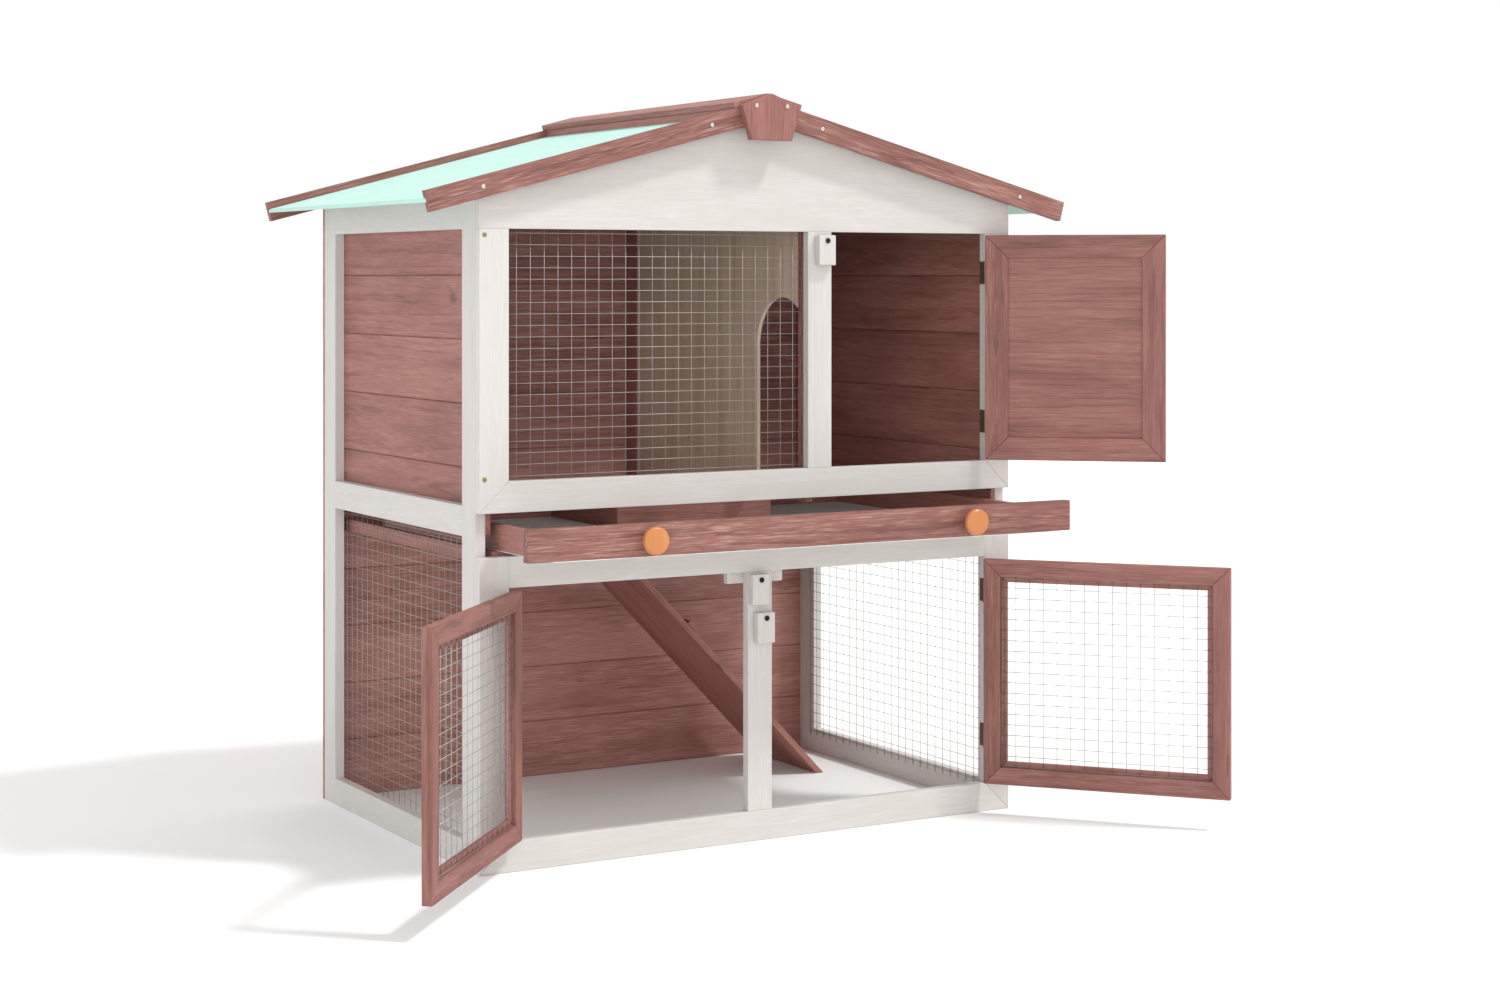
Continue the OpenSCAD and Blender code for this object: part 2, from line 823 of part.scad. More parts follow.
// One half of a hinge: the fixed half has the end knuckles, the door half the middle one
module hinge_half(z, fixed) {
  third = hinge_h / 3;
  z0 = z - hinge_h / 2;
  leaf_x = fixed ? opening_x - leaf_t : door_r;
  rows = fixed ? [0, 2] : [1];
  color("#4a3f3a") {
    box([leaf_x, front_y, z0], [leaf_x + leaf_t, front_y + hinge_leaf_w, z0 + hinge_h]);
    for (i = rows)
      difference() {
        union() {
          translate([hinge_x, hinge_y, z0 + i * third + touch])
            cylinder(h = third - 2 * touch, r = knuckle_r);
          box([leaf_x, hinge_y, z0 + i * third + touch],
              [leaf_x + leaf_t, front_y + 0.5, z0 + (i + 1) * third - touch]);
        }
        translate([hinge_x, hinge_y, z0 - 1])
          cylinder(h = hinge_h + 2, r = pin_r + pin_fit);
      }
  }
}

module frame_hinge_leaves() {
  for (z = concat(upper_hinges(), lower_hinges()))
    hinge_half(z, true);
  for (z = lower_hinges())
    mirror([1, 0, 0])
      hinge_half(z, true);
}

module hinge_pin(z) {
  translate([hinge_x, hinge_y, z - hinge_h / 2])
    cylinder(h = hinge_h, r = pin_r);
}

module hinge_pins() {
  color(black) {
    for (z = concat(upper_hinges(), lower_hinges()))
      hinge_pin(z);
    for (z = lower_hinges())
      mirror([1, 0, 0])
        hinge_pin(z);
  }
}

module upper_door_hinge_leaves() {
  swing(1, upper_door_open)
    for (z = upper_hinges())
      hinge_half(z, false);
}

module lower_door_hinge_leaves(side) {
  swing(side, lower_door_open(side))
    for (z = lower_hinges())
      hinge_half(z, false);
}

front_post(-1);  // left_front_post
back_post(-1);  // left_back_post
side_rail(-1, z_head, side_top_w);  // left_top_rail
side_rail(-1, side_mid_z, side_mid_w);  // left_mid_rail
side_rail(-1, 0, side_bottom_w);  // left_bottom_rail
side_boards(-1);  // left_side_boards
side_mesh(-1);  // left_side_mesh
front_post(1);  // right_front_post
back_post(1);  // right_back_post
side_rail(1, z_head, side_top_w);  // right_top_rail
side_rail(1, side_mid_z, side_mid_w);  // right_mid_rail
side_rail(1, 0, side_bottom_w);  // right_bottom_rail
side_boards(1);  // right_side_boards
side_mesh(1);  // right_side_mesh
back_boards();
upper_stile(-1);  // upper_left_stile
upper_stile(1);  // upper_right_stile
upper_bottom_rail();
upper_middle_post();
gable_board();
window_mesh();
lower_stile(-1);  // lower_left_stile
lower_stile(1);  // lower_right_stile
lower_top_rail();
lower_bottom_rail();
lower_middle_post();
door_stop_cleat();
divider_panel();
divider_battens();
tray_bearers();
ramp_board();
ramp_cleats();
roof_panel(-1);  // left_roof_panel
roof_panel(1);  // right_roof_panel
union() { barge_board(-1, -1); barge_board(1, -1); }  // front_barge_boards
union() { barge_board(-1, 1); barge_board(1, 1); }  // back_barge_boards
for (side = [-1, 1]) {  // ridge_caps
    ridge_cap(side);
    ridge_batten(side);
  }
union() {  // apex_plates
  apex_plate(barge_front_y - apex_t);
  apex_plate(barge_back_y);
}
roof_screws();
frame_screws();
turn_button_screws();
hinge_pins();
frame_hinge_leaves();
upper_door_frame();
upper_door_panel();
upper_door_hinge_leaves();
lower_door_frame(-1);  // lower_left_door_frame
lower_door_mesh(-1);  // lower_left_door_mesh
lower_door_hinge_leaves(-1);  // lower_left_door_hinge_leaves
lower_door_frame(1);  // lower_right_door_frame
lower_door_mesh(1);  // lower_right_door_mesh
lower_door_hinge_leaves(1);  // lower_right_door_hinge_leaves
turn_button(upper_button_x, upper_button_z);  // upper_turn_button
turn_button(left_button_x, left_button_z);  // left_turn_button
turn_button(right_button_x, right_button_z);  // right_turn_button
tray_front();
tray_sides();
tray_notch_walls();
tray_sheet();
tray_knobs();
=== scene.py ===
"""Looks of a two-storey timber rabbit hutch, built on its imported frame."""

import json
import math
import random

import bmesh
import bpy
from bpy.props import FloatProperty, FloatVectorProperty, IntProperty, PointerProperty
from mathutils import Matrix, Vector


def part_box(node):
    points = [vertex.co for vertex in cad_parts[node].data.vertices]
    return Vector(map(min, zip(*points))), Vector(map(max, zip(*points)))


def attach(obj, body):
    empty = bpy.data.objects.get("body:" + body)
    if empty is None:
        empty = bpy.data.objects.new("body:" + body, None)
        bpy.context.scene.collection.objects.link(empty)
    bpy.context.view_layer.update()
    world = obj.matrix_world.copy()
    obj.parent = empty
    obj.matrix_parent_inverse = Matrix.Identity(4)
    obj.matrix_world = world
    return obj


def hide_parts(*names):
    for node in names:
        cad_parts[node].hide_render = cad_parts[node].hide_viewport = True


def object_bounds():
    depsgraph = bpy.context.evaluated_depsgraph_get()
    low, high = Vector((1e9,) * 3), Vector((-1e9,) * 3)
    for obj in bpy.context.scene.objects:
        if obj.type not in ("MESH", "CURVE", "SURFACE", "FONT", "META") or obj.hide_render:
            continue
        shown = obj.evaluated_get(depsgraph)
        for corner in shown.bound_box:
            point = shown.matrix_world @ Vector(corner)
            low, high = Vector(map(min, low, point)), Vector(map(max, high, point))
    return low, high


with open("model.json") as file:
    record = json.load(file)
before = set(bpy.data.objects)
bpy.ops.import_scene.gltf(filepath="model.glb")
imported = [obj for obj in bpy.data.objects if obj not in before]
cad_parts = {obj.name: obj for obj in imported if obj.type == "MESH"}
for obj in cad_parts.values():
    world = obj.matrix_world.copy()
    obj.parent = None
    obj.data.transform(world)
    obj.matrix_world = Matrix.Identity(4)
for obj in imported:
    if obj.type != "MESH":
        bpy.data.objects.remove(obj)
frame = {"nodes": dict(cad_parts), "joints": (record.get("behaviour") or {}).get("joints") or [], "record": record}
cad_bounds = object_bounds()

bl_info = {
    "name": "Timber Rabbit Hutch",
    "version": (1, 0, 0),
    "blender": (4, 5, 0),
    "location": "View3D > Sidebar > Hutch",
    "description": "Builds the timbers, wire meshes, roof, tray and fittings of a rabbit hutch",
    "category": "Object",
}

MM = 0.001
RECORD = frame["record"]
BODY_OF = {node: body for body, nodes in RECORD["behaviour"]["bodies"].items() for node in nodes}
SLOT_OF = {part["node"]: part["material_slot"] for part in RECORD["subparts"]}
JOINT_OF = {joint["child"]: joint for joint in frame["joints"]}


def linear(code):
    """Linear RGBA of an sRGB colour written as six hex digits."""
    channels = [int(code[i:i + 2], 16) / 255 for i in (0, 2, 4)]
    return tuple(c / 12.92 if c <= 0.04045 else ((c + 0.055) / 1.055) ** 2.4
                 for c in channels) + (1.0,)


def colour(name, code, description):
    """A colour property whose default is an sRGB hex value."""
    return FloatVectorProperty(name=name, description=description, default=linear(code),
                               subtype="COLOR", size=4, min=0, max=1)


def length(name, default, description):
    """A length property in metres."""
    return FloatProperty(name=name, description=description, default=default, min=0,
                         unit="LENGTH", precision=5)


class HutchSizes(bpy.types.PropertyGroup):
    """Sizes that the looks add to the frame."""
    eased_edge: length("Eased edge", 0.9 * MM, "Rounding of the sawn timbers' edges")
    board_edge: length("Board edge", 0.35 * MM, "Rounding of the tongued boards' edges")
    button_edge: length("Button edge", 1.6 * MM, "Rounding of the turn buttons' edges")
    wire_width: length("Wire", 0.9 * MM, "Diameter of the mesh wires")
    wire_step: length("Upright wire spacing", 22 * MM, "Distance between upright wires")
    wire_rise: length("Level wire spacing", 16.6 * MM, "Distance between level wires")
    knob_neck: length("Knob neck", 9 * MM, "Radius of a knob's neck")
    knob_head: length("Knob head", 12 * MM, "Thickness of a knob's head")
    rod_sides: IntProperty(name="Wire sides", description="Sides of each wire", default=8,
                           min=6, max=16)


class HutchColours(bpy.types.PropertyGroup):
    """Colours of the finishes."""
    paint: colour("White paint", "C7C3C0", "White paint on the frames")
    paint_shadow: colour("Paint shadow", "BBB6AF", "Grain that shows through the white paint")
    paint_pale: colour("Paint highlight", "D8D6D3", "Raised fibres in the white paint")
    stain: colour("Stain", "9F6A60", "Reddish-brown stain")
    # A paler copy of the stain: painted light for the dim inside of the hutch.
    stain_thin: colour("Thin stain", "AE7A6F", "Stain on the back wall's boards")
    stain_dark: colour("Dark stain", "73453E", "Late wood and pores under the stain")
    stain_pale: colour("Pale stain", "BC998D", "Raised grain where the stain has rubbed thin")
    deep: colour("Deep stain", "936057", "Stain on the planed doors, tray front and barge boards")
    deep_dark: colour("Deep stain, dark", "663C35", "Late wood under the deep stain")
    deep_pale: colour("Deep stain, pale", "B39084", "Rubbed grain of the deep stain")
    felt: colour("Felt", "C3E4DA", "Mineral felt on the roof")
    felt_dark: colour("Felt grit", "9CC4BA", "Darker grit in the felt")
    plywood: colour("Plywood", "C9B5A0", "Bare plywood of the inner wall")
    plywood_dark: colour("Plywood grain", "A98F78", "Grain of the bare plywood")
    knob: colour("Knob", "C07A40", "Varnished knobs")
    knob_dark: colour("Knob grain", "AC642F", "Growth rings of the knobs")
    knob_pale: colour("Knob highlight", "CD9763", "Pale fibres of the knobs")
    zinc: colour("Zinc", "DDDBD7", "Galvanised sheet and bright plated screws")
    wire: colour("Wire", "ABA8A4", "Galvanised wire")
    brass: colour("Yellow zinc", "A8996A", "Yellow zinc screws")
    black: colour("Black", "171615", "Black phosphate screws")
    bronze: colour("Bronzed steel", "6A5A51", "Hinges")
    floor: colour("Floor", "F1F1F0", "Studio floor")


class HutchStage(bpy.types.PropertyGroup):
    """Camera and lights."""
    lens: FloatProperty(name="Lens", description="Focal length", default=60.5, min=20, unit="CAMERA")
    turn: FloatProperty(name="Turn", description="Turn of the camera to the right", subtype="ANGLE",
                        default=math.radians(30.09))
    shift: FloatProperty(name="Shift", description="Upright shift of the picture", default=-0.148)
    place: FloatVectorProperty(name="Place", description="Place of the camera", subtype="TRANSLATION",
                               default=(-1.9168, -3.2853, 0.8467))
    sky: FloatProperty(name="Sky", description="Strength of the even light", default=1.0, min=0)
    key: FloatProperty(name="Key", description="Strength of the key light", default=1.9, min=0)
    key_from: FloatVectorProperty(name="Key from", description="Direction the key light comes from",
                                  subtype="DIRECTION", default=(1.1, -1.0, 2.1))
    key_width: FloatProperty(name="Key width", description="Angle the key light covers",
                             subtype="ANGLE", default=math.radians(7))
    fill: FloatProperty(name="Fill", description="Power of the fill lamp", default=40, min=0)
    fill_from: FloatVectorProperty(name="Fill from", description="Fill lamp, from the hutch's middle",
                                   subtype="TRANSLATION", default=(-2.9, -3.8, 0.3))
    fill_width: FloatProperty(name="Fill width", description="Side of the fill lamp", default=2.0,
                              min=0, unit="LENGTH")


# ---- Materials ----

def add(tree, kind, inputs=None, **settings):
    """Adds a node with its settings; an input is a value, or a socket to link."""
    node = tree.nodes.new(kind)
    for key, value in settings.items():
        setattr(node, key, value)
    for key, value in (inputs or {}).items():
        if isinstance(value, bpy.types.NodeSocket):
            tree.links.new(value, node.inputs[key])
        else:
            node.inputs[key].default_value = value
    return node


def new_material(name, roughness, metallic=0.0, coat=0.0):
    """An empty material and its shader."""
    material = bpy.data.materials.new(name)
    material.use_nodes = True
    tree = material.node_tree
    shader = tree.nodes["Principled BSDF"]
    shader.inputs["Roughness"].default_value = roughness
    shader.inputs["Metallic"].default_value = metallic
    shader.inputs["Coat Weight"].default_value = coat
    return material, tree, shader


# Noise drawn out to these lengths along and across the board in millimetres. Real fibres are finer
# than 1 mm and are drawn at 2 mm so that they show.
GRAIN_NOISE_MM = {"fibre": (42, 2.0), "line": (170, 3.0), "patch": (280, 42)}
# Cells per metre along, across and through the board, about 140 by 70 by 70 mm each.
KNOT_CELLS = (7, 14, 14)
# The highest-ranked cells, one in four, hold a small knot.
KNOT_RANK = (0.73, 0.75)
KNOT_REACH = 0.32        # from a knot's centre to its edge, in cells
KNOT_PUSH = 0.02         # metres by which the rings bend round a knot
WAVE_PERIOD_MM = 314     # a wave pattern's period at scale 1
LOG_TILT = math.radians(1.4)
LATE_WOOD = 3.5          # the power that narrows the rings' dark late wood
RELIEF_STRENGTH = 0.6


def sawn_wood(name, body, dark, pale, rings=0.38, streaks=0.28, blotch=0.5, tones=0.14,
              knots=0.8, ring_mm=9.0, roughness=0.62, relief_mm=0.15, coat=0.0):
    """Flat-sawn softwood under a finish: growth rings, fibres along the board, patches, small knots
    and a tone of its own for each board. The grain attribute holds metres along, across and through
    the board."""
    material, tree, shader = new_material(name, roughness, coat=coat)
    grain = add(tree, "ShaderNodeAttribute", attribute_name="grain").outputs["Vector"]
    tone = add(tree, "ShaderNodeAttribute", attribute_name="tone").outputs["Fac"]

    noise = {}
    for pattern, (along_mm, across_mm) in GRAIN_NOISE_MM.items():
        per_metre = (1000 / along_mm,) + (1000 / across_mm,) * 2
        place = add(tree, "ShaderNodeMapping", {"Vector": grain, "Scale": per_metre}).outputs[0]
        cloud = add(tree, "ShaderNodeTexNoise", {"Vector": place, "Scale": 1.0, "Detail": 4.0,
                                                 "Roughness": 0.6})
        noise[pattern] = cloud.outputs["Fac"]

    cell_place = add(tree, "ShaderNodeMapping", {"Vector": grain, "Scale": KNOT_CELLS}).outputs[0]
    cell = add(tree, "ShaderNodeTexVoronoi", {"Vector": cell_place, "Scale": 1.0})
    rank = add(tree, "ShaderNodeSeparateColor", {0: cell.outputs["Color"]}).outputs[0]
    chosen = add(tree, "ShaderNodeMapRange", {"Value": rank, "From Min": KNOT_RANK[0],
                                              "From Max": KNOT_RANK[1]}).outputs[0]
    near = add(tree, "ShaderNodeMapRange", {"Value": cell.outputs["Distance"],
                                            "From Min": KNOT_REACH, "From Max": 0.0}).outputs[0]
    knot = add(tree, "ShaderNodeMath", {0: near, 1: chosen}, operation="MULTIPLY").outputs[0]

    # Growth rings, bent round the knots. The log's axis is tilted a little to the board.
    log = add(tree, "ShaderNodeMapping", {"Vector": grain, "Rotation": (0, 0, LOG_TILT),
                                          "Scale": (0.1, 1, 1)}).outputs[0]
    push = add(tree, "ShaderNodeMath", {0: knot, 1: KNOT_PUSH}, operation="MULTIPLY").outputs[0]
    sideways = add(tree, "ShaderNodeCombineXYZ", {1: push}).outputs[0]
    bent = add(tree, "ShaderNodeVectorMath", {0: log, 1: sideways}, operation="ADD").outputs[0]
    ring = add(tree, "ShaderNodeTexWave", {"Vector": bent, "Scale": WAVE_PERIOD_MM / ring_mm,
                                           "Distortion": 9.0, "Detail": 4.0, "Detail Scale": 0.5,
                                           "Detail Roughness": 0.6},
               wave_type="RINGS", rings_direction="X", wave_profile="SAW").outputs["Fac"]
    late = add(tree, "ShaderNodeMath", {0: ring, 1: LATE_WOOD}, operation="POWER").outputs[0]

    # How far the colour goes from the body to the dark one: each pattern adds its share between a
    # low and a high value of its own.
    darker = add(tree, "ShaderNodeMath", {0: tone, 1: tones}, operation="MULTIPLY").outputs[0]
    for value, low, high, most in ((late, 0.0, 1.0, rings), (noise["patch"], 0.38, 0.68, blotch),
                                   (noise["line"], 0.52, 0.72, 0.5 * rings),
                                   (noise["fibre"], 0.54, 0.34, 0.24), (knot, 0.62, 0.85, knots)):
        share = add(tree, "ShaderNodeMapRange", {"Value": value, "From Min": low, "From Max": high,
                                                 "To Max": most}).outputs[0]
        darker = add(tree, "ShaderNodeMath", {0: darker, 1: share}, operation="ADD").outputs[0]
    stained = add(tree, "ShaderNodeMix", {0: darker, 6: body, 7: dark}, data_type="RGBA").outputs[2]

    # Raised fibres are rubbed pale outside the dark patches.
    raised = add(tree, "ShaderNodeMapRange", {"Value": noise["fibre"], "From Min": 0.5,
                                              "From Max": 0.68, "To Max": streaks}).outputs[0]
    open_patch = add(tree, "ShaderNodeMapRange", {"Value": noise["patch"], "From Min": 0.66,
                                                  "From Max": 0.4}).outputs[0]
    rubbed = add(tree, "ShaderNodeMath", {0: raised, 1: open_patch}, operation="MULTIPLY").outputs[0]
    shade = add(tree, "ShaderNodeMix", {0: rubbed, 6: stained, 7: pale}, data_type="RGBA").outputs[2]
    tree.links.new(shade, shader.inputs["Base Color"])

    # Fibres stand up and late wood lies a little lower.
    height = add(tree, "ShaderNodeMath", {0: late, 1: -0.4, 2: noise["fibre"]},
                 operation="MULTIPLY_ADD").outputs[0]
    bump = add(tree, "ShaderNodeBump", {"Height": height, "Distance": relief_mm * MM,
                                        "Strength": RELIEF_STRENGTH})
    tree.links.new(bump.outputs[0], shader.inputs["Normal"])
    return material


# Cells of 1.5 mm, coarser than the real grit of 1 mm so that they still show.
GRITS_PER_METRE = 660.0
CLOUDS_PER_METRE = 9.0
GRIT_RELIEF = 0.4 * MM


def mineral_felt(name, body, dark):
    """Bitumen felt dressed with coloured mineral grit: matt, rough to the touch, in specks of two
    tones with faint clouds."""
    material, tree, shader = new_material(name, 0.92)
    place = add(tree, "ShaderNodeTexCoord").outputs["Object"]
    grit = add(tree, "ShaderNodeTexVoronoi", {"Vector": place, "Scale": GRITS_PER_METRE})
    speck = add(tree, "ShaderNodeSeparateColor", {0: grit.outputs["Color"]}).outputs[0]
    cloud = add(tree, "ShaderNodeTexNoise", {"Vector": place, "Scale": CLOUDS_PER_METRE,
                                             "Detail": 3.0}).outputs["Fac"]
    specks = add(tree, "ShaderNodeMath", {0: speck, 1: 0.45}, operation="MULTIPLY").outputs[0]
    darker = add(tree, "ShaderNodeMath", {0: cloud, 1: 0.3, 2: specks},
                 operation="MULTIPLY_ADD").outputs[0]
    shade = add(tree, "ShaderNodeMix", {0: darker, 6: body, 7: dark}, data_type="RGBA").outputs[2]
    tree.links.new(shade, shader.inputs["Base Color"])
    bump = add(tree, "ShaderNodeBump", {"Height": speck, "Distance": GRIT_RELIEF, "Strength": 0.5})
    tree.links.new(bump.outputs[0], shader.inputs["Normal"])
    return material


CRYSTALS_PER_METRE = 110.0     # zinc crystals about 9 mm across
CRYSTAL_SHADE = 0.78           # the darkest crystal's colour, as a share of the palest one's
CRYSTAL_ROUGHNESS = (0.5, 0.68)


def galvanised_sheet(name, zinc):
    """Hot-dip galvanised steel sheet, dulled by its pale oxide: zinc crystals that differ in tone
    and sheen."""
    material, tree, shader = new_material(name, CRYSTAL_ROUGHNESS[0], metallic=0.12)
    place = add(tree, "ShaderNodeTexCoord").outputs["Object"]
    spangle = add(tree, "ShaderNodeTexVoronoi", {"Vector": place, "Scale": CRYSTALS_PER_METRE})
    crystal = add(tree, "ShaderNodeSeparateColor", {0: spangle.outputs["Color"]}).outputs[0]
    darker = tuple(c * CRYSTAL_SHADE for c in zinc[:3]) + (1.0,)
    shade = add(tree, "ShaderNodeMix", {0: crystal, 6: zinc, 7: darker}, data_type="RGBA").outputs[2]
    tree.links.new(shade, shader.inputs["Base Color"])
    sheen = add(tree, "ShaderNodeMapRange", {"Value": crystal, "To Min": CRYSTAL_ROUGHNESS[0],
                                             "To Max": CRYSTAL_ROUGHNESS[1]}).outputs[0]
    tree.links.new(sheen, shader.inputs["Roughness"])
    return material


MARKS_PER_METRE = 600.0        # drawing marks and stains 1 to 2 mm across
MARK_SHADE = 0.7               # the darkest mark's colour, as a share of the plating's


def plated_steel(name, body, roughness, metallic=1.0):
    """Drawn or turned steel with a thin plating: fine wear marks, slightly uneven sheen."""
    material, tree, shader = new_material(name, roughness, metallic=metallic)
    place = add(tree, "ShaderNodeTexCoord").outputs["Object"]
    mark = add(tree, "ShaderNodeTexNoise", {"Vector": place, "Scale": MARKS_PER_METRE,
                                            "Detail": 2.0}).outputs["Fac"]
    darker = tuple(c * MARK_SHADE for c in body[:3]) + (1.0,)
    shade = add(tree, "ShaderNodeMix", {0: mark, 6: body, 7: darker}, data_type="RGBA").outputs[2]
    tree.links.new(shade, shader.inputs["Base Color"])
    sheen = add(tree, "ShaderNodeMapRange", {"Value": mark, "To Min": roughness - 0.08,
                                             "To Max": roughness + 0.12}).outputs[0]
    tree.links.new(sheen, shader.inputs["Roughness"])
    return material


# Each finish: what makes it, the colours it takes from HutchColours, and its settings. No name is one
# of the record's material slots, because the frame's plain materials have those names.
STAIN = ("stain", "stain_dark", "stain_pale")
DEEP_STAIN = ("deep", "deep_dark", "deep_pale")
FINISHES = {
    # Satin paint on planed spruce: nearly even, with a ghost of the grain.
    "painted_spruce": (sawn_wood, ("paint", "paint_shadow", "paint_pale"),
                       {"rings": 0.2, "streaks": 0.3, "blotch": 0.35, "knots": 0.3,
                        "roughness": 0.5, "relief_mm": 0.08}),
    # Reddish-brown stain on sawn fir: darker late wood, paler raised fibres.
    "stained_fir": (sawn_wood, STAIN, {}),
    # The back wall's boards: a paler copy of the stain with much pale grain, painted light that brightens the dim
    # inside of the hutch.
    "thin_stained_fir": (sawn_wood, ("stain_thin", "stain_dark", "stain_pale"),
                         {"rings": 0.25, "streaks": 0.8, "blotch": 0.4}),
    # The same stain on planed faces, which take it deeper, so that the knots stand out.
    "planed_fir": (sawn_wood, DEEP_STAIN, {"streaks": 0.3, "knots": 1.0}),
    # The planed face again, rubbed thin on the raised grain by handling.
    "rubbed_fir": (sawn_wood, DEEP_STAIN, {"rings": 0.45, "streaks": 0.8, "relief_mm": 0.2}),
    # Bare poplar plywood: pale and matt, with wide soft figure.
    "bare_plywood": (sawn_wood, ("plywood", "plywood_dark", "plywood"),
                     {"blotch": 0.4, "knots": 0.5, "ring_mm": 26, "roughness": 0.7}),
    # Clear orange varnish on turned beech: close rings and a soft gloss.
    "varnished_beech": (sawn_wood, ("knob", "knob_dark", "knob_pale"),
                        {"rings": 0.6, "streaks": 0.6, "ring_mm": 5, "knots": 0,
                         "roughness": 0.4, "relief_mm": 0.03, "coat": 0.3}),
    # Mint-green roofing felt: chalky and speckled.
    "mineral_felt": (mineral_felt, ("felt", "felt_dark"), {}),
    # Galvanised sheet: pale grey, patterned with crystals.
    "spangled_zinc": (galvanised_sheet, ("zinc",), {}),
    # Galvanised wire: darker than the sheet, with an even sheen.
    "galvanised_wire": (plated_steel, ("wire",), {"roughness": 0.4, "metallic": 0.5}),
    # Bright zinc plating: the roof screws' pale glint.
    "bright_zinc": (plated_steel, ("zinc",), {"roughness": 0.3, "metallic": 0.6}),
    # Yellow passivated zinc: a straw-coloured metal shine on the frame screws.
    "yellow_zinc": (plated_steel, ("brass",), {"roughness": 0.35}),
    # Black phosphate: nearly matt, with little metal look.
    "black_phosphate": (plated_steel, ("black",), {"roughness": 0.45, "metallic": 0.4}),
    # Bronzed pressed steel: dark brown hinges with a dull shine.
    "bronzed_steel": (plated_steel, ("bronze",), {"roughness": 0.4, "metallic": 0.5}),
}


def finish(name):
    """The material of that name, made at its first use."""
    made = bpy.data.materials.get(name)
    if made:
        return made
    maker, colours, settings = FINISHES[name]
    chosen = bpy.context.scene.hutch_colours
    return maker(name, *(tuple(getattr(chosen, colour)) for colour in colours), **settings)


# ---- Mesh helpers ----

def islands(bm):
    """The connected parts of a mesh, each as a list of vertices."""
    left = set(bm.verts)
    parts = []
    for start in list(bm.verts):
        if start not in left:
            continue
        left.discard(start)
        part, queue = [], [start]
        while queue:
            vert = queue.pop()
            part.append(vert)
            for edge in vert.link_edges:
                other = edge.other_vert(vert)
                if other in left:
                    left.discard(other)
                    queue.append(other)
        parts.append(part)
    return parts


def span(points):
    """Lowest and highest corner of some points."""
    return (Vector([min(p[i] for p in points) for i in range(3)]),
            Vector([max(p[i] for p in points) for i in range(3)]))


SAME_POINT = 0.001 * MM
FLAT_ANGLE = math.radians(0.3)
SHARP_ANGLE = math.radians(25)


def cad_mesh(node):
    """A welded copy of a frame node's mesh with its flat faces whole."""
    bm = bmesh.new()
    bm.from_mesh(frame["nodes"][node].data)
    bmesh.ops.remove_doubles(bm, verts=bm.verts, dist=SAME_POINT)
    bmesh.ops.dissolve_limit(bm, angle_limit=FLAT_ANGLE, verts=bm.verts, edges=bm.edges)
    return bm


def part_boxes(node):
    """Lowest and highest corner of each separate part of a frame node."""
    bm = cad_mesh(node)
    boxes = [span([vert.co for vert in part]) for part in islands(bm)]
    bm.free()
    return boxes


# Where the log's pith lies from a board's centre, in metres: anywhere along it, a little to one side,
# and a few centimetres below.
PITH_ALONG = (-1, 1)
PITH_ACROSS = (-0.03, 0.03)
PITH_BELOW = (0.03, 0.08)


def set_grain(bm, seed, along=None):
    """Writes each board's own grain coordinates: metres along its longest edge, across it and
    through it. Edges and faces are taken in mesh order, so that where some are equal, every run
    chooses the same one."""
    grain = bm.verts.layers.float_vector.new("grain")
    tone = bm.verts.layers.float.new("tone")
    rng = random.Random(seed)
    for part in islands(bm):
        edges = list(dict.fromkeys(edge for vert in part for edge in vert.link_edges))
        longest = max(edges, key=lambda edge: edge.calc_length())
        run = along or (longest.verts[1].co - longest.verts[0].co).normalized()
        faces = list(dict.fromkeys(face for vert in part for face in vert.link_faces))
        normal = max(faces, key=lambda face: face.calc_area()).normal
        through = (normal - run * normal.dot(run)).normalized()
        across = through.cross(run)
        low, high = span([vert.co for vert in part])
        centre = (low + high) / 2
        pith = Vector((rng.uniform(*PITH_ALONG), rng.uniform(*PITH_ACROSS), rng.uniform(*PITH_BELOW)))
        own_tone = rng.uniform(-1, 1)
        for vert in part:
            p = vert.co - centre
            vert[grain] = Vector((p.dot(run), p.dot(across), p.dot(through))) + pith
            vert[tone] = own_tone


def new_piece(node, ending, bm, material, smooth=False):
    """Turns a mesh into the piece that stands for a frame node, on that node's body."""
    for face in bm.faces:
        face.smooth = smooth
    bmesh.ops.recalc_face_normals(bm, faces=bm.faces)
    mesh = bpy.data.meshes.new(node + ending)
    bm.to_mesh(mesh)
    bm.free()
    mesh.materials.append(finish(material))
    piece = bpy.data.objects.new(node + ending, mesh)
    bpy.context.scene.collection.objects.link(piece)
    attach(piece, BODY_OF[node])
    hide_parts(node)


def ease_edges(bm, width, shortest=4 * MM):
    """Rounds the sharp edges of timbers; edges of small holes stay."""
    sharp = [edge for edge in bm.edges
             if edge.calc_length() > shortest and edge.calc_face_angle(0) > SHARP_ANGLE]
    bmesh.ops.bevel(bm, geom=sharp, offset=width, segments=2, profile=0.5, affect="EDGES",
                    clamp_overlap=True)


def timber(node, material, width, along=None):
    """A timber or a set of like timbers with eased edges and grain along each one."""
    bm = cad_mesh(node)
    ease_edges(bm, width)
    set_grain(bm, node, along)
    new_piece(node, "_wood", bm, material)


def door_swing(body):
    """The turn that takes a door from its closed limit to where it stands at rest."""
    joint = JOINT_OF.get(body)
    if joint is None or joint["type"] != "hinge":
        return Matrix.Identity(4)
    closed = max(joint["range_deg"], key=abs)
    pivot = Matrix.Translation(Vector(joint["pos_m"]))
    return pivot @ Matrix.Rotation(math.radians(-closed), 4, "Z") @ pivot.inverted()


